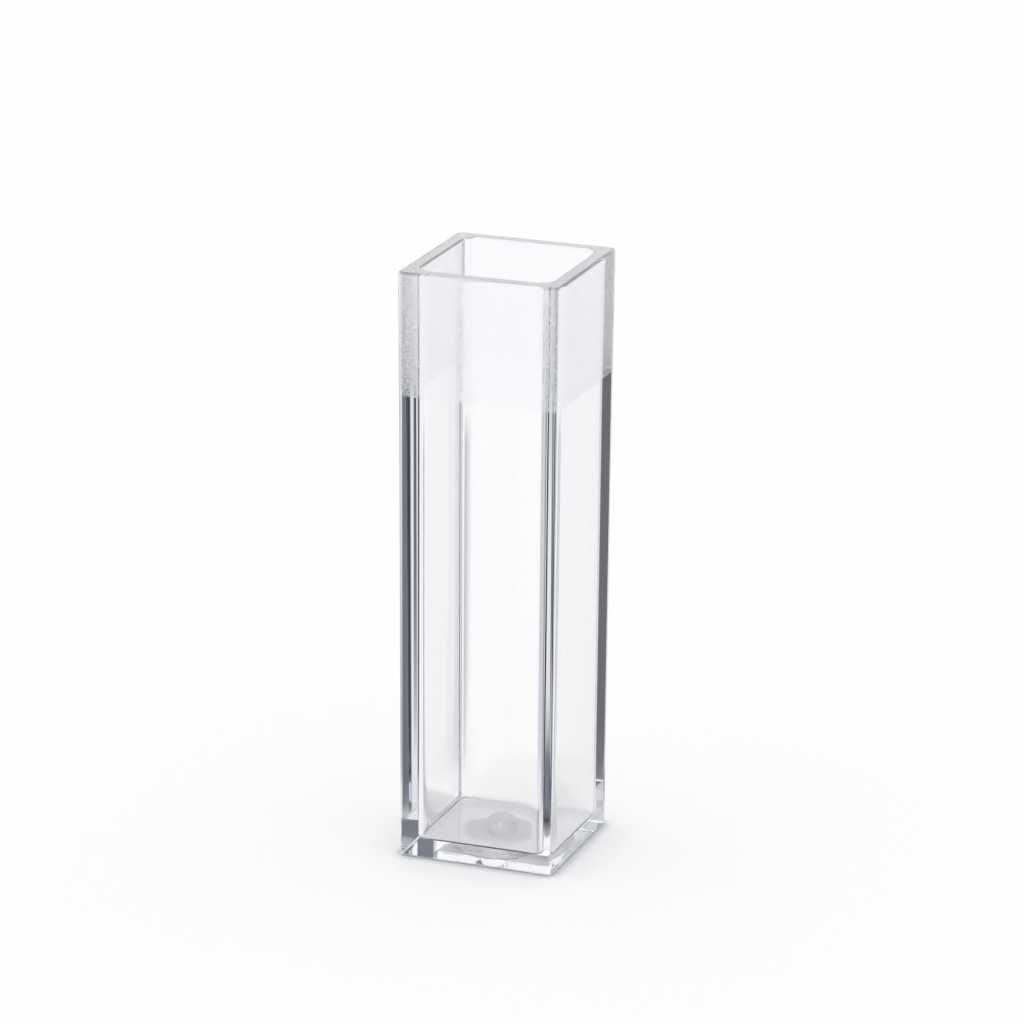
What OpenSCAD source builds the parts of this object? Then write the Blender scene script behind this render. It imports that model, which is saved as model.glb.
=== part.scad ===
// Square spectrophotometer cuvette with a 10 mm light path, moulded in one
// piece from clear plastic, with a frosted collar round its mouth.
// Millimetres, +Z up. The origin is the centre of the foot's underside.

/* [Walls] */
// Inside width at the floor, which is the light path
light_path = 10; // [5:0.5:20]
// Thickness of the walls at the foot
wall_thickness = 1; // [0.8:0.05:1.5]
// Thickness of the floor
floor_thickness = 1.2; // [0.8:0.1:3]
// Height from the foot to the rim
overall_height = 45; // [25:1:60]
// How far each outside wall leans out between the foot and the collar
body_draft = 0.15; // [0.05:0.05:0.3]
// How far each inside wall leans out between the floor and the rim
cavity_draft = 0.1; // [0.02:0.02:0.2]

/* [Corners and edges] */
// Radius of the outside upright corners at the foot
corner_radius = 0.25; // [0.25:0.05:0.8]
// Radius of the inside upright corners at the floor
cavity_corner_radius = 1; // [0.7:0.1:2]
// Rounding of the foot's lower edge
foot_edge_radius = 0.15; // [0.05:0.05:0.2]
// Rounding where the walls meet the floor
floor_fillet = 0.3; // [0.1:0.05:0.6]
// Rounding of the rim's outer edge
rim_outer_radius = 0.2; // [0.05:0.05:0.3]
// Rounding of the rim's inner edge
rim_inner_radius = 0.15; // [0.05:0.05:0.3]

/* [Frosted collar] */
// Height of the collar, measured down from the rim
collar_height = 9.3; // [4:0.1:20]
// How far the collar's lower edge stands proud of the clear body
collar_step = 0.02; // [0.01:0.01:0.2]
// How far each side of the collar flares out on its way up to the rim
collar_flare = 0.08; // [0.01:0.01:0.4]

/* [Gate] */
// Radius of the dome on the cavity floor, above the moulding gate
dome_radius = 1.3; // [1:0.05:2]
// Height of the dome
dome_height = 1; // [0.4:0.05:1]
// Radius of the shallow recess under the foot
recess_radius = 3; // [2:0.1:3.3]
// Depth of the recess
recess_depth = 0.2; // [0.1:0.05:0.5]
// Width of the recess's sloped edge
recess_edge = 0.4; // [0.1:0.05:0.8]

/* [Hidden] */
$fn = 96;

clear_plastic = [0.92, 0.95, 0.97, 0.4];
// The cavity and the recess are cut this far past the faces that they open
overshoot = 1;

collar_foot = overall_height - collar_height;
cavity_depth = overall_height - floor_thickness;

// The upright corners of the outside turn about one axis from foot to rim, so
// their radius grows with each draft, step and flare of the walls
corner_axis = light_path / 2 + wall_thickness - corner_radius;
shoulder_radius = corner_radius + body_draft;
collar_foot_radius = shoulder_radius + collar_step;
rim_radius = collar_foot_radius + collar_flare;

// Radius of the ball whose top is the dome
dome_ball = (dome_radius ^ 2 + dome_height ^ 2) / (2 * dome_height);
quarter_turn = 90;

// Centre of the arc that rounds a leaning wall into a level face
function arc_centre(wall_x, z, lean, arc) = [wall_x - arc / cos(lean), z];

// Where that arc meets the wall
function arc_meets_wall(centre, lean, arc) =
    centre + arc * [cos(lean), -sin(lean)];

// Half section of a block whose wall leans from r_low at the bottom to r_high
// at the top, with its two edges rounded by arc_low and arc_high
module wall_section(r_low, r_high, height, arc_low, arc_high) {
    slope = (r_high - r_low) / height;
    lean = atan(slope);
    low = arc_centre(r_low + slope * arc_low, arc_low, lean, arc_low);
    high = arc_centre(r_high - slope * arc_high, height - arc_high, lean, arc_high);
    polygon([
        [0, 0],
        [low.x, 0],
        arc_meets_wall(low, lean, arc_low),
        arc_meets_wall(high, lean, arc_high),
        [high.x, height],
        [0, height]
    ]);
    intersection() {
        union() {
            if (arc_low > 0) translate(low) circle(arc_low);
            if (arc_high > 0) translate(high) circle(arc_high);
        }
        square([max(r_low, r_high), height]);
    }
}

// Half section of the mouth's rounding, which opens a leaning wall outward
module lip_section(r_low, r_high, height, arc) {
    slope = (r_high - r_low) / height;
    lean = atan(slope);
    centre = [r_high - slope * arc + arc / cos(lean), height - arc];
    wall = arc_meets_wall(centre, lean, -arc);
    difference() {
        polygon([
            [0, wall.y],
            wall,
            [centre.x, height],
            [centre.x, height + overshoot],
            [0, height + overshoot]
        ]);
        translate(centre) circle(arc);
    }
}

// Carries a half section round a rounded square: four straight sides, four
// quarter turns about the corner axes, and the block between them
module carried_round(axis_offset, height) {
    for (side = [0:3]) rotate(quarter_turn * side) {
        translate([axis_offset, 0, 0]) rotate([quarter_turn, 0, 0])
            linear_extrude(height = 2 * axis_offset, center = true) children();
        translate([axis_offset, axis_offset, 0])
            rotate_extrude(angle = quarter_turn) children();
    }
    translate([-axis_offset, -axis_offset, 0])
        cube([2 * axis_offset, 2 * axis_offset, height]);
}

// Clear lower body, drafted from the foot to the collar
module clear_body() {
    carried_round(corner_axis, collar_foot)
        wall_section(corner_radius, shoulder_radius, collar_foot,
            foot_edge_radius, 0);
}

// Frosted collar, a little proud of the body and flaring to the rim
module collar() {
    translate([0, 0, collar_foot])
        carried_round(corner_axis, collar_height)
            wall_section(collar_foot_radius, rim_radius, collar_height,
                0, rim_outer_radius);
}

// Space inside, with a filleted floor and a rounded mouth
module cavity() {
    mouth_radius = cavity_corner_radius + cavity_draft;
    translate([0, 0, floor_thickness])
        carried_round(light_path / 2 - cavity_corner_radius, cavity_depth + overshoot)
            union() {
                wall_section(cavity_corner_radius, mouth_radius, cavity_depth,
                    floor_fillet, 0);
                lip_section(cavity_corner_radius, mouth_radius, cavity_depth,
                    rim_inner_radius);
            }
}

// Dome on the cavity floor above the gate
module gate_dome() {
    translate([0, 0, floor_thickness]) rotate_extrude()
        intersection() {
            translate([0, dome_height - dome_ball]) circle(dome_ball);
            square([dome_radius, dome_height]);
        }
}

// Recess under the foot, which keeps the trimmed gate off the bench
module gate_recess() {
    inner_radius = recess_radius - recess_edge;
    cylinder(h = recess_depth, r1 = recess_radius, r2 = inner_radius);
    translate([0, 0, -overshoot]) cylinder(h = overshoot, r = recess_radius);
}

module cuvette() {
    color(clear_plastic)
    difference() {
        union() {
            difference() {
                union() {
                    clear_body();
                    collar();
                }
                cavity();
            }
            gate_dome();
        }
        gate_recess();
    }
}

cuvette();
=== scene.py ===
# A clear square cuvette with a frosted collar, standing on a pale studio floor.
import math

import bpy
import numpy as np
from mathutils import Matrix, Vector


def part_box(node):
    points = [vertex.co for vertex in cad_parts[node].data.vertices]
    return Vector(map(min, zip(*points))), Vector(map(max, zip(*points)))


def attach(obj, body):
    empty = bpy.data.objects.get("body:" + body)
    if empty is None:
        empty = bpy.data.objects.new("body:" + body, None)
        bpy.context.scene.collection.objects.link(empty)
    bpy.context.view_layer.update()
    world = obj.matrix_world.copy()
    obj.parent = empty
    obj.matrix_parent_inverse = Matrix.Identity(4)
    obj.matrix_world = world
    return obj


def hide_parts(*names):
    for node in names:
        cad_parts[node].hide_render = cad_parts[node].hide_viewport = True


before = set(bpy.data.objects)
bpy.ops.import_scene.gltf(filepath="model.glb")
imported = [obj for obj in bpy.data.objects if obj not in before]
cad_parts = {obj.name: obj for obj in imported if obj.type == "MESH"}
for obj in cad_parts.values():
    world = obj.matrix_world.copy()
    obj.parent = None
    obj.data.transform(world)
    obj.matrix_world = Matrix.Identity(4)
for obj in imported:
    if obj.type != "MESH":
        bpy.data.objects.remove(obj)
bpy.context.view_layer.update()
boxLow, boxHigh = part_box("cuvette")
mm = 0.001
rightAngle, fullTurn = 90, 360

# The moulding's sizes in metres, and how finely its surface is divided.
cuvetteForm = {
    "lightPath": 10 * mm,
    "wall": 1 * mm,
    "floor": 1.2 * mm,
    "bodyDraft": 0.15 * mm,
    "cavityDraft": 0.1 * mm,
    "cornerRadius": 0.25 * mm,
    "cavityCornerRadius": 1 * mm,
    "footEdge": 0.15 * mm,
    "floorFillet": 0.3 * mm,
    "rimOuter": 0.2 * mm,
    "rimInner": 0.15 * mm,
    "collarHeight": 9.3 * mm,
    "collarStep": 0.02 * mm,
    "collarFlare": 0.08 * mm,
    "domeRadius": 1.3 * mm,
    "domeHeight": 1 * mm,
    "recessRadius": 3 * mm,
    "recessDepth": 0.2 * mm,
    "recessEdge": 0.4 * mm,
    "edgeSteps": 8,
    "domeSteps": 24,
    "wallSteps": 12,
    "cornerSteps": 16,
    "sideSteps": 8,
}
polished, frosted, satin, brushed, blasted, smooth = range(6)  # the finishes, in the order of the materials


# A straight run of the section, start + t (end - start): its normal is the run turned a quarter clockwise.
def straightRun(axis, start, end, finish=polished, steps=1):
    t = np.linspace(0, 1, steps + 1)[:, None]
    run = np.subtract(end, start)
    place = np.asarray(start) + t * run
    normal = np.array([run[1], -run[0]]) / np.hypot(*run)
    ones = np.ones_like(t)
    return np.hstack([axis * ones, place, ones * normal, finish * ones])


# A round edge, centre + radius (cos t, sin t): its normal points away from the centre, or to it in a hollow.
def roundEdge(axis, centre, radius, fromAngle, toAngle, steps, finish=polished, hollow=False):
    t = np.radians(np.linspace(fromAngle, toAngle, steps + 1))[:, None]
    spoke = np.hstack([np.cos(t), np.sin(t)])
    ones = np.ones_like(t)
    side = -1 if hollow else 1
    return np.hstack([axis * ones, np.asarray(centre) + radius * spoke, side * spoke, finish * ones])


# The half section from the middle of the underside, out and up the wall, over the rim, down inside
# and across the floor to the top of the dome. Each station holds its corner axis, its reach from that
# axis, its height, its normal outward and upward, and its finish.
def cuvetteSection(form):
    top = boxHigh.z
    collarFoot = top - form["collarHeight"]
    outerAxis = form["lightPath"] / 2 + form["wall"] - form["cornerRadius"]
    innerAxis = form["lightPath"] / 2 - form["cavityCornerRadius"]
    shoulder = form["cornerRadius"] + form["bodyDraft"]
    collarReach = shoulder + form["collarStep"]
    rimReach = collarReach + form["collarFlare"]
    mouthReach = form["cavityCornerRadius"] + form["cavityDraft"]
    steps = form["edgeSteps"]

    bodyLean = math.atan2(form["bodyDraft"], collarFoot)
    collarLean = math.atan2(form["collarFlare"], form["collarHeight"])
    cavityLean = math.atan2(form["cavityDraft"], top - form["floor"])

    # How far out an edge's centre lies: wall - side x radius / cos(lean).
    def arcCentre(wallReach, lean, radius, wallSide):
        return wallReach - wallSide * radius / math.cos(lean)

    foot = form["footEdge"]
    footCentre = arcCentre(form["cornerRadius"] + math.tan(bodyLean) * foot, bodyLean, foot, 1)
    rim = form["rimOuter"]
    rimCentre = arcCentre(rimReach - math.tan(collarLean) * rim, collarLean, rim, 1)
    lip = form["rimInner"]
    lipCentre = arcCentre(mouthReach - math.tan(cavityLean) * lip, cavityLean, lip, -1)
    fillet = form["floorFillet"]
    filletReach = form["cavityCornerRadius"] + math.tan(cavityLean) * fillet
    filletCentre = arcCentre(filletReach, cavityLean, fillet, 1)

    recessTop = form["recessRadius"] - form["recessEdge"]
    ball = (form["domeRadius"] ** 2 + form["domeHeight"] ** 2) / (2 * form["domeHeight"])
    ballCentre = form["floor"] + form["domeHeight"] - ball
    domeFoot = math.acos(form["domeRadius"] / ball)
    body, collar, inside, dome = (math.degrees(v) for v in (bodyLean, collarLean, cavityLean, domeFoot))

    runs = [
        # The recess under the foot, its sloped edge, and the flat of the foot.
        straightRun(0, (0, form["recessDepth"]), (recessTop, form["recessDepth"]), blasted, steps=4),
        straightRun(0, (recessTop, form["recessDepth"]), (form["recessRadius"], 0), blasted),
        [[0, form["recessRadius"], 0, 0, -1, polished]],
        # The foot's edge, the body's wall, and the step out to the collar.
        roundEdge(outerAxis, (footCentre, foot), foot, -rightAngle, -body, steps),
        straightRun(
            outerAxis,
            (footCentre + foot * math.cos(bodyLean), foot - foot * math.sin(bodyLean)),
            (shoulder, collarFoot), steps=form["wallSteps"]),
        straightRun(outerAxis, (shoulder, collarFoot), (collarReach, collarFoot)),
        # The collar, and over the rim from its outer edge to its inner one.
        straightRun(
            outerAxis, (collarReach, collarFoot),
            (rimCentre + rim * math.cos(collarLean), top - rim - rim * math.sin(collarLean)),
            frosted, form["wallSteps"] // 2),
        roundEdge(outerAxis, (rimCentre, top - rim), rim, -collar, rightAngle, steps, satin),
        [[outerAxis, rimCentre, top, 0, 1, brushed]],
        roundEdge(innerAxis, (lipCentre, top - lip), lip, rightAngle, 2 * rightAngle - inside, steps, satin),
        # Down inside, and round the fillet to the floor.
        straightRun(
            innerAxis,
            (lipCentre - lip * math.cos(cavityLean), top - lip + lip * math.sin(cavityLean)),
            (filletCentre + fillet * math.cos(cavityLean),
             form["floor"] + fillet - fillet * math.sin(cavityLean)),
            steps=form["wallSteps"]),
        roundEdge(
            innerAxis, (filletCentre, form["floor"] + fillet), fillet,
            -inside, -rightAngle, steps, hollow=True),
        # The floor, and up the dome to its top.
        [[0, form["domeRadius"], form["floor"], 0, 1, polished]],
        roundEdge(0, (0, ballCentre), ball, dome, rightAngle, form["domeSteps"], smooth),
    ]
    return np.vstack(runs)


# The way round a rounded square, with one entry for each column in three arrays: its place on a square
# of half width 1, the outward direction there, and an evenly spaced direction for round rings. A corner
# stays in one place and turns outward through (cos t, sin t), and a side runs straight to the next.
def aroundSquare(form):
    turn = np.radians(np.linspace(0, rightAngle, form["cornerSteps"] + 1))
    side = np.linspace(1, -1, form["sideSteps"] + 1)[1:-1]
    square = np.hstack([[np.ones_like(turn), np.ones_like(turn)], [side, np.ones_like(side)]])
    angle = np.hstack([turn, np.full_like(side, math.radians(rightAngle))])
    corners, outward = [], []
    for quarter in range(4):
        turned = math.radians(rightAngle * quarter)
        spin = np.array([[math.cos(turned), -math.sin(turned)], [math.sin(turned), math.cos(turned)]])
        corners.append((spin @ square).T)
        outward.append(np.column_stack([np.cos(angle + turned), np.sin(angle + turned)]))
    corners, outward = np.vstack(corners), np.vstack(outward)
    even = np.arange(len(corners)) * math.tau / len(corners)
    even += math.radians(rightAngle) / 2 - even[form["cornerSteps"] // 2]
    return corners, outward, np.column_stack([np.cos(even), np.sin(even)])


# Carries the section round: place = axis x (square place) + reach x (outward direction), at the
# station's height. The normal is (outward part) x (outward direction), with the upward part.
def carrySection(name, section, form):
    square, outward, even = aroundSquare(form)
    axis, reach, height, normalOut, normalUp, finish = section.T
    isRound = (axis == 0)[:, None, None]
    direction = np.where(isRound, even[None], outward[None])
    plan = axis[:, None, None] * square[None] + reach[:, None, None] * direction
    place = np.dstack([plan, np.broadcast_to(height[:, None], plan.shape[:2])])
    normal = np.dstack([
        normalOut[:, None, None] * direction,
        np.broadcast_to(normalUp[:, None], plan.shape[:2])])

    # Stations at one place share a ring, and the first and last close to a single point.
    samePlace = 1e-6 * mm
    moved = np.abs(np.diff(section[:, :3], axis=0)).max(axis=1) > samePlace
    ring = np.r_[0, np.cumsum(moved)]
    columns = square.shape[0]
    rings = place[np.r_[True, moved]]
    points = np.vstack([rings[0, :1], rings[1:-1].reshape(-1, 3), rings[-1, :1]])

    # A point's number is 1 + (ring - 1) x columns + column. The first ring and the last are one point.
    def pointIndex(station, column):
        inner = 1 + (ring[station] - 1) * columns + column % columns
        return np.where(ring[station] == 0, 0, np.where(ring[station] == ring[-1], len(points) - 1, inner))

    station, column = np.meshgrid(np.flatnonzero(moved), np.arange(columns), indexing="ij")
    station, column = station.ravel(), column.ravel()
    around = [(station, column), (station, column + 1), (station + 1, column + 1), (station + 1, column)]
    corners = np.column_stack([pointIndex(s, c) for s, c in around])
    normals = np.stack([normal[s, c % columns] for s, c in around], axis=1)
    # At a single point a face has three corners.
    keep = np.ones_like(corners, dtype=bool)
    keep[corners[:, 0] == corners[:, 1], 1] = False
    keep[corners[:, 2] == corners[:, 3], 3] = False
    sizes = keep.sum(axis=1)

    mesh = bpy.data.meshes.new(name)
    mesh.vertices.add(len(points))
    mesh.vertices.foreach_set("co", points.ravel())
    mesh.loops.add(int(sizes.sum()))
    mesh.loops.foreach_set("vertex_index", corners[keep])
    mesh.polygons.add(len(sizes))
    mesh.polygons.foreach_set("loop_start", np.r_[0, np.cumsum(sizes)[:-1]])
    mesh.update(calc_edges=True)
    mesh.polygons.foreach_set("use_smooth", np.ones(len(sizes), dtype=bool))
    mesh.polygons.foreach_set("material_index", finish[station].astype(int))
    mesh.normals_split_custom_set(normals[keep])
    mesh.validate()
    piece = bpy.data.objects.new(name, mesh)
    bpy.context.scene.collection.objects.link(piece)
    return piece


def link(tree, *pairs):
    for source, target in pairs:
        tree.links.new(source, target)


# One straight slope of a value between two ends, and level beyond them.
def slope(tree, value, fromLow, fromHigh, toLow, toHigh):
    node = tree.nodes.new("ShaderNodeMapRange")
    for name, end in zip(("From Min", "From Max", "To Min", "To Max"), (fromLow, fromHigh, toLow, toHigh)):
        node.inputs[name].default_value = end
    link(tree, (value, node.inputs["Value"]))
    return node.outputs[0]


# One node for a sum or a vector sum. Sockets are linked, and anything else is set on the node.
def worked(tree, kind, operation, *inputs, output=0):
    node = tree.nodes.new(kind)
    node.operation = operation
    for value, socket in zip(inputs, node.inputs):
        if isinstance(value, bpy.types.NodeSocket):
            link(tree, (value, socket))
        else:
            socket.default_value = value
    return node.outputs[output]


def plainMath(tree, operation, *inputs):
    return worked(tree, "ShaderNodeMath", operation, *inputs)


def vectorMath(tree, operation, *inputs, output=0):
    return worked(tree, "ShaderNodeVectorMath", operation, *inputs, output=output)


# One clear plastic in six finishes, from a mould that is polished in some places and grained in others.
plastic = {
    "ior": 1.49,
    "clearColour": (1, 1, 1, 1),
    "grainedColour": (0.97, 0.975, 1, 1),
    "grainDetail": 3,
}


def startPlastic(name, colour):
    material = bpy.data.materials.new(name)
    material.use_nodes = True
    tree = material.node_tree
    shader = tree.nodes["Principled BSDF"]
    shader.inputs["Base Color"].default_value = colour
    shader.inputs["IOR"].default_value = plastic["ior"]
    return material, tree, shader


# Noise in the object's own coordinates.
def ownNoise(tree, scale, detail):
    where = tree.nodes.new("ShaderNodeTexCoord")
    noise = tree.nodes.new("ShaderNodeTexNoise")
    noise.inputs["Scale"].default_value = scale
    noise.inputs["Detail"].default_value = detail
    link(tree, (where.outputs["Object"], noise.inputs["Vector"]))
    return noise.outputs["Fac"]


# The polished walls, which keep a faint waviness from the mould's cooling: noise as a height.
polishedWalls = {"waveScale": 160, "waveDetail": 0, "waveHeight": 0.002 * mm}


def makeClearPlastic():
    material, tree, shader = startPlastic("clearPlastic", plastic["clearColour"])
    shader.inputs["Roughness"].default_value = 0
    shader.inputs["Transmission Weight"].default_value = 1
    waves = ownNoise(tree, polishedWalls["waveScale"], polishedWalls["waveDetail"])
    bump = tree.nodes.new("ShaderNodeBump")
    bump.inputs["Strength"].default_value = 1
    bump.inputs["Distance"].default_value = polishedWalls["waveHeight"]
    link(tree, (waves, bump.inputs["Height"]), (bump.outputs["Normal"], shader.inputs["Normal"]))
    return material


# Grained finishes. Noise splits each into hollows and crests, on a slope between the two values of its
# grain: a hollow is rough and scatters some of the light, and a crest is smoother and clearer. Seen
# from inside, all of it is clear.
frostedCollar = {
    "grainScale": 6000,
    "grain": (0.4, 0.56),
    "roughness": (0.3, 0.14),
    "clearness": (0.6, 0.84),
}
satinEdges = {
    "grainScale": 6000,
    "grain": (0.3, 0.7),
    "roughness": (0.3, 0.2),
    "clearness": (0.75, 0.85),
}
brushedRim = {
    "grainScale": 6000,
    "grain": (0.3, 0.7),
    "roughness": (0.36, 0.24),
    "clearness": (0.42, 0.55),
}
blastedRecess = {
    "grainScale": 6000,
    "grain": (0.3, 0.7),
    "roughness": (0.55, 0.42),
    "clearness": (0.92, 1),
}
smoothDome = {
    "grainScale": 2000,
    "grain": (0.3, 0.7),
    "roughness": (0.06, 0.03),
    "clearness": (0.86, 0.94),
}


def makeGrainedPlastic(name, finish):
    material, tree, shader = startPlastic(name, plastic["grainedColour"])
    grain = ownNoise(tree, finish["grainScale"], plastic["grainDetail"])
    inside = tree.nodes.new("ShaderNodeNewGeometry").outputs["Backfacing"]
    clear = slope(tree, grain, *finish["grain"], *finish["clearness"])
    link(tree,
         (slope(tree, grain, *finish["grain"], *finish["roughness"]), shader.inputs["Roughness"]),
         (plainMath(tree, "MAXIMUM", clear, inside), shader.inputs["Transmission Weight"]))
    return material


cuvette = carrySection("cuvetteMoulding", cuvetteSection(cuvetteForm), cuvetteForm)
grainedFinishes = {
    "frostedPlastic": frostedCollar,
    "satinPlastic": satinEdges,
    "brushedPlastic": brushedRim,
    "blastedPlastic": blastedRecess,
    "smoothPlastic": smoothDome,
}
cuvette.data.materials.append(makeClearPlastic())
for name, finish in grainedFinishes.items():
    cuvette.data.materials.append(makeGrainedPlastic(name, finish))
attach(cuvette, "root")
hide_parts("cuvette")
print("moulding:", len(cuvette.data.polygons), "faces")


# The studio is white, with darker cards painted on its paper and in its air that only show through the
# clear plastic, where they give its walls painted dark reflections.
studio = {
    "floorSize": 6.0,
    "paper": (0.995, 0.995, 1),
    "backlight": 0.6,
    "slate": (0.86, 0.95, 1.18),
    # A painted contact shadow on the paper: its depth and its reach.
    "contactShade": 0.18,
    "contactReach": 4 * mm,
    # A thin painted shadow line along the foot: its depth and its reach.
    "footLineShade": 0.75,
    "footLineReach": 0.9 * mm,
    "closeLooks": 8,
    "footGap": 0.03 * mm,
}

# A card is a ramp of (degrees round the object, level) stops, a painted dark tone that gives the clear
# walls painted dark reflections. One is for a look that passes straight through, one for a look that the
# plastic has turned back once, and one for a look turned back more often, which is also painted darker by
# the number of its turns. On the floor a card fades in and out again at four distances from the object,
# and its middle may stand beside the object's. The card for one turn also paints shade under the foot:
# its level there, and the two distances between which that ends.
paintedFloorCards = {
    "passing": ((-180, 0.95), (100, 1), (122, 1), (143, 0.5), (168, 0.5), (176, 0.92), (180, 0.95)),
    "passingMiddle": (-6 * mm, 2 * mm, 0),
    "passingReach": (3 * mm, 16 * mm, 104 * mm, 116 * mm),
    "turnedOnce": (
        (-140, 0.97), (-110, 0.85), (-35, 0.95), (0, 0.65), (22, 0.45), (35, 0.2), (42, 0.2), (50, 0.85),
        (84, 0.82), (93, 0.15), (142, 0.08), (156, 0.9), (180, 1)),
    "turnedOnceReach": (10 * mm, 20 * mm, 150 * mm, 170 * mm),
    # Painted shade on the paper under the foot, seen after one turn.
    "turnedOnceUnder": (0.06, 6 * mm, 7.5 * mm),
    "turnedMore": (
        (-140, 0.97), (-110, 0.8), (-75, 0.8), (-35, 0.95), (0, 0.7), (30, 0.15), (50, 0.06),
        (58, 0.22), (78, 0.2), (90, 0.9), (101, 1), (106, 0.5), (109, 0.1), (113, 0.1), (116, 1)),
    "turnedMoreMiddle": (-6.3 * mm, -2.3 * mm, 0),
    "turnedMoreReach": (6 * mm, 10 * mm, 150 * mm, 170 * mm),
    "turns": (1, 1, 0.95, 0.9, 0.8, 0.03, 0),
}
# Painted dark tones in the air, seen only in and through the plastic.
paintedAirCards = {
    "passing": ((-180, 1), (180, 1)),
    "turnedOnce": (
        (-180, 1), (-110, 0.9), (-35, 0.95), (0, 0.8), (35, 0.5), (60, 0.85), (80, 0.9), (110, 1)),
    "turnedMore": (
        (-180, 1), (-140, 0.95), (-110, 0.8), (-75, 0.8), (-35, 0.95), (0, 0.7), (30, 0.2), (82, 0.16),
        (98, 0.85), (110, 1)),
    "turns": (1, 1, 1, 0.95, 0.9, 0.8, 0.75),
}


# A grey a little toward slate where it is dark: level x (slate + level x (1 - slate)).
def slateGrey(level):
    return [level * (tone + level * (1 - tone)) for tone in studio["slate"]] + [1]


# Straight slopes of grey between (place, level) stops, with places from 0 to 1.
def toneRamp(tree, where, stops):
    node = tree.nodes.new("ShaderNodeValToRGB")
    ramp = node.color_ramp
    while len(ramp.elements) < len(stops):
        ramp.elements.new(0.5)  # placed below
    for element, (place, level) in zip(ramp.elements, stops):
        element.position, element.color = place, slateGrey(level)
    link(tree, (where, node.inputs[0]))
    return node.outputs[0]


# The tone (1 - share) x first + share x second, with the share held from 0 to 1. A missing second tone
# is white.
def mixTones(tree, share, first, second=None):
    node = tree.nodes.new("ShaderNodeMix")
    node.data_type = "RGBA"
    shareIn, firstIn, secondIn = (socket for socket in node.inputs if socket.enabled)
    secondIn.default_value = (1, 1, 1, 1)
    link(tree, (share, shareIn), (first, firstIn), *([(second, secondIn)] if second else []))
    return next(socket for socket in node.outputs if socket.enabled)


# Which side of the room a point lies on, from 0 to 1: arc tangent (y / x) / full turn + 1 / 2.
def sideOf(tree, point):
    parts = tree.nodes.new("ShaderNodeSeparateXYZ")
    link(tree, (point, parts.inputs[0]))
    turn = plainMath(tree, "ARCTAN2", parts.outputs["Y"], parts.outputs["X"])
    return plainMath(tree, "MULTIPLY_ADD", turn, 1 / math.tau, 0.5)


# A painted card's tone at a point, for its side of the card's middle, and white out of its reach: the
# greater of two slopes of the distance. Under the foot, the tone is multiplied by one more slope, as
# painted shade.
def paintedCardTone(tree, point, cards, look):
    middle = cards.get(look + "Middle")
    side = sideOf(tree, vectorMath(tree, "SUBTRACT", point, middle) if middle else point)
    tone = toneRamp(tree, side, [(0.5 + degrees / fullTurn, level) for degrees, level in cards[look]])
    if look + "Reach" not in cards:
        return tone
    nearEdge, nearFull, farFull, farEdge = cards[look + "Reach"]
    away = vectorMath(tree, "LENGTH", point, output="Value")
    near = slope(tree, away, nearEdge, nearFull, 1, 0)
    far = slope(tree, away, farFull, farEdge, 0, 1)
    tone = mixTones(tree, plainMath(tree, "MAXIMUM", near, far), tone)
    if look + "Under" not in cards:
        return tone
    level, underFull, underEdge = cards[look + "Under"]
    return vectorMath(tree, "MULTIPLY", tone, slope(tree, away, underFull, underEdge, level, 1))


# The studio's tone at a point: white to a straight look, and the painted dark cards' tones to one through
# plastic, made darker by the number of turns as painted shade. Glossy Depth counts how often the plastic
# has turned the look back.
def studioTone(tree, point, cards):
    path = tree.nodes.new("ShaderNodeLightPath")
    turned = path.outputs["Glossy Depth"]
    passing, turnedOnce, turnedMore = (
        paintedCardTone(tree, point, cards, look) for look in ("passing", "turnedOnce", "turnedMore"))
    tone = mixTones(tree, plainMath(tree, "MINIMUM", turned, 1), passing, turnedOnce)
    tone = mixTones(tree, plainMath(tree, "SUBTRACT", turned, 1), tone, turnedMore)
    # Painted shade: the tone darker by the number of turns.
    last = len(cards["turns"]) - 1
    count = plainMath(tree, "DIVIDE", turned, last)
    fade = toneRamp(tree, count, [(n / last, level) for n, level in enumerate(cards["turns"])])
    tone = vectorMath(tree, "MULTIPLY", tone, fade)
    return vectorMath(tree, "MAXIMUM", tone, path.outputs["Is Camera Ray"])


# Painted shadow, darker where the object is close: 1 - shade x (1 - openness), with openness measured
# out to a reach.
def paintedCloseShadow(tree, name):
    openness = tree.nodes.new("ShaderNodeAmbientOcclusion")
    openness.samples = studio["closeLooks"]
    openness.inputs["Distance"].default_value = studio[name + "Reach"]
    return toneRamp(tree, openness.outputs["AO"], [(0, 1 - studio[name + "Shade"]), (1, 1)])
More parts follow.
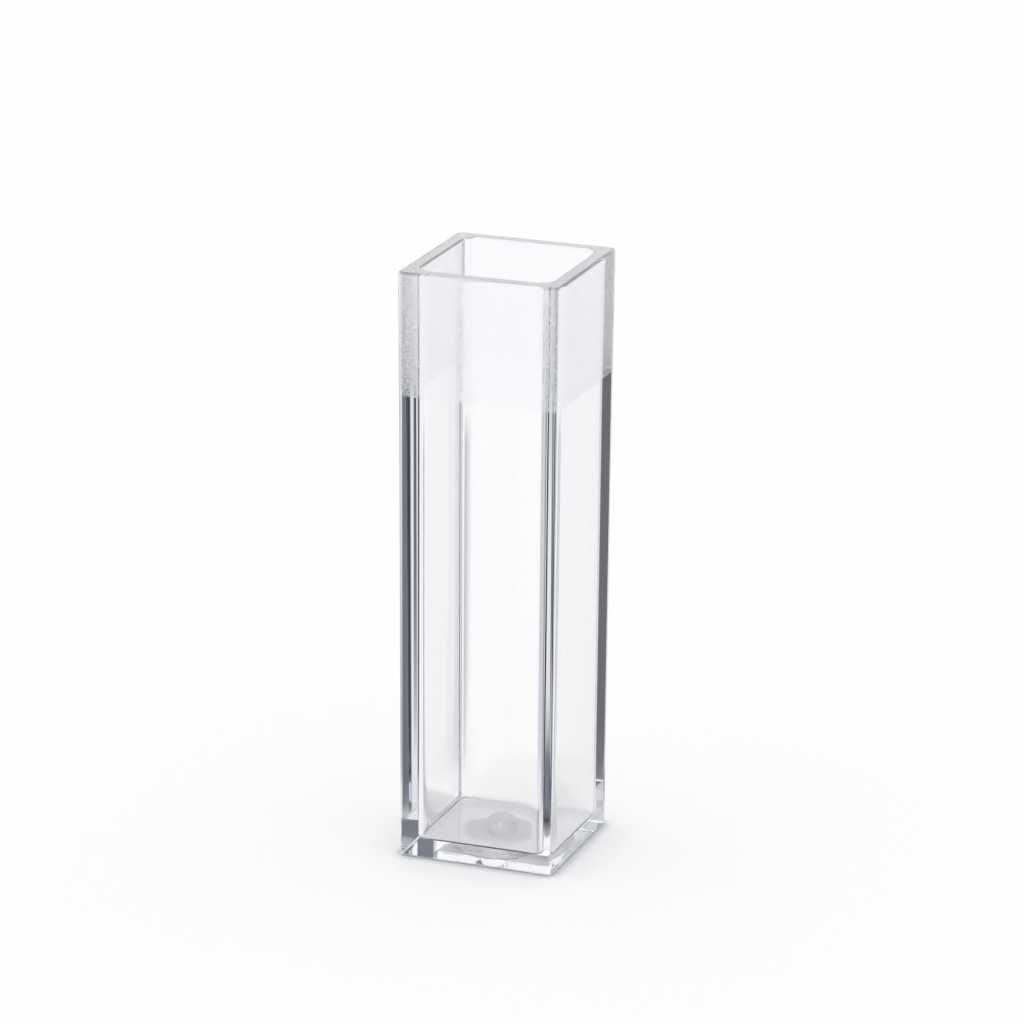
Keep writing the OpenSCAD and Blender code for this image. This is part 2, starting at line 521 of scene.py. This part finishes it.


# White paper, lit from above and from behind, with a painted shadow that makes it a little darker close
# to the object. The light from behind is only seen directly, by reflection or through plastic, so the
# paper keeps the shadow. The thin painted shadow line along the foot is only seen directly.
def makeFloor():
    half = studio["floorSize"] / 2
    mesh = bpy.data.meshes.new("studioFloor")
    corners = [(-half, -half, 0), (half, -half, 0), (half, half, 0), (-half, half, 0)]
    mesh.from_pydata(corners, [], [(0, 1, 2, 3)])
    floor = bpy.data.objects.new("studioFloor", mesh)
    bpy.context.scene.collection.objects.link(floor)
    material = bpy.data.materials.new("floorPaper")
    material.use_nodes = True
    tree = material.node_tree
    paper = tree.nodes["Principled BSDF"]
    paper.inputs["Roughness"].default_value = 1
    paper.inputs["Specular IOR Level"].default_value = 0
    glow = tree.nodes.new("ShaderNodeEmission")
    mix = tree.nodes.new("ShaderNodeMixShader")
    place = tree.nodes.new("ShaderNodeNewGeometry").outputs["Position"]
    # The paper's painted dark cards, seen only in and through the plastic.
    tone = studioTone(tree, place, paintedFloorCards)
    tone = vectorMath(tree, "MULTIPLY", tone, studio["paper"])
    path = tree.nodes.new("ShaderNodeLightPath").outputs
    # Painted shadow: the paper darker close to the object.
    tone = vectorMath(tree, "MULTIPLY", tone, paintedCloseShadow(tree, "contact"))
    # A thin painted shadow line along the foot, seen only directly.
    throughPlastic = plainMath(tree, "SUBTRACT", 1, path["Is Camera Ray"])
    footLine = mixTones(tree, throughPlastic, paintedCloseShadow(tree, "footLine"))
    tone = vectorMath(tree, "MULTIPLY", tone, footLine)
    seen = plainMath(tree, "MAXIMUM", path["Is Camera Ray"], path["Is Glossy Ray"])
    seen = plainMath(tree, "MAXIMUM", seen, path["Is Transmission Ray"])
    link(tree,
         (tone, paper.inputs["Base Color"]),
         (tone, glow.inputs["Color"]),
         (plainMath(tree, "MULTIPLY", seen, studio["backlight"]), mix.inputs[0]),
         (paper.outputs[0], mix.inputs[1]),
         (glow.outputs[0], mix.inputs[2]),
         (mix.outputs[0], tree.nodes["Material Output"].inputs["Surface"]))
    mesh.materials.append(material)
    floor.location.z = boxLow.z - studio["footGap"]  # just clear of the foot
    print("floor:", studio["floorSize"], "m")


# White air, with its painted dark cards by direction.
def makeWorld():
    world = bpy.data.worlds.new("studio")
    bpy.context.scene.world = world
    world.use_nodes = True
    tree = world.node_tree
    direction = tree.nodes.new("ShaderNodeTexCoord").outputs["Generated"]
    background = tree.nodes["Background"]
    background.inputs["Strength"].default_value = 1
    link(tree, (studioTone(tree, direction, paintedAirCards), background.inputs["Color"]))
    print("light: white air")


makeFloor()
makeWorld()

# A strip lamp above the front gives the dome its bright glint. It lights no matt surface. Its power is
# level x pi x width x length.
stripLamp = {
    "azimuth": -80,
    "elevation": 52,
    "distance": 0.6,
    "width": 0.13,
    "length": 0.4,
    "level": 8,
}


def makeStripLamp():
    width, length = stripLamp["width"], stripLamp["length"]
    light = bpy.data.lights.new("stripLamp", "AREA")
    light.shape = "RECTANGLE"
    light.size, light.size_y = width, length
    light.energy = stripLamp["level"] * math.pi * width * length
    lamp = bpy.data.objects.new("stripLamp", light)
    turn = Matrix.Rotation(math.radians(rightAngle + stripLamp["azimuth"]), 4, "Z")
    rise = Matrix.Rotation(math.radians(rightAngle - stripLamp["elevation"]), 4, "X")
    lamp.matrix_world = turn @ rise @ Matrix.Translation((0, 0, stripLamp["distance"]))
    lamp.visible_camera = False
    lamp.visible_diffuse = False
    bpy.context.scene.collection.objects.link(lamp)
    print("lamp: one strip,", length, "m long")


makeStripLamp()

# The camera looks down from the front, a little round to the right, with the object low in its frame.
view = {
    "azimuth": 20.32,
    "elevation": 18.1,
    "roll": 0.47,
    "distance": 0.3952,
    "aimAcross": 0.46 * mm,
    "aimUp": 3.1 * mm,
    "lens": 187.9,
    "nearest": 0.01,
    "farthest": 20,
}


def makeCamera():
    azimuth, elevation = math.radians(view["azimuth"]), math.radians(view["elevation"])
    middle = (boxLow + boxHigh) / 2
    back = Vector((
        math.sin(azimuth) * math.cos(elevation),
        -math.cos(azimuth) * math.cos(elevation),
        math.sin(elevation)))
    across = (-back).cross(Vector((0, 0, 1))).normalized()
    up = across.cross(-back)
    eye = middle + back * view["distance"]
    aim = middle + across * view["aimAcross"] + up * view["aimUp"]
    data = bpy.data.cameras.new("studioCamera")
    data.lens = view["lens"]
    data.clip_start, data.clip_end = view["nearest"], view["farthest"]
    camera = bpy.data.objects.new("studioCamera", data)
    bpy.context.scene.collection.objects.link(camera)
    turn = (aim - eye).to_track_quat("-Z", "Y").to_matrix().to_4x4()
    roll = Matrix.Rotation(math.radians(view["roll"]), 4, "Z")
    camera.matrix_world = Matrix.Translation(eye) @ turn @ roll
    bpy.context.scene.camera = camera
    print("camera:", view["lens"], "mm lens")


makeCamera()

scene = bpy.context.scene
scene.view_settings.view_transform = "Standard"
bounces = 32  # enough for a look that the walls turn back many times
scene.cycles.max_bounces = bounces
scene.cycles.transmission_bounces = bounces
scene.cycles.glossy_bounces = bounces
scene.cycles.use_denoising = True
scene.cycles.denoising_input_passes = "RGB"  # with more, it keeps the sampling noise on the collar
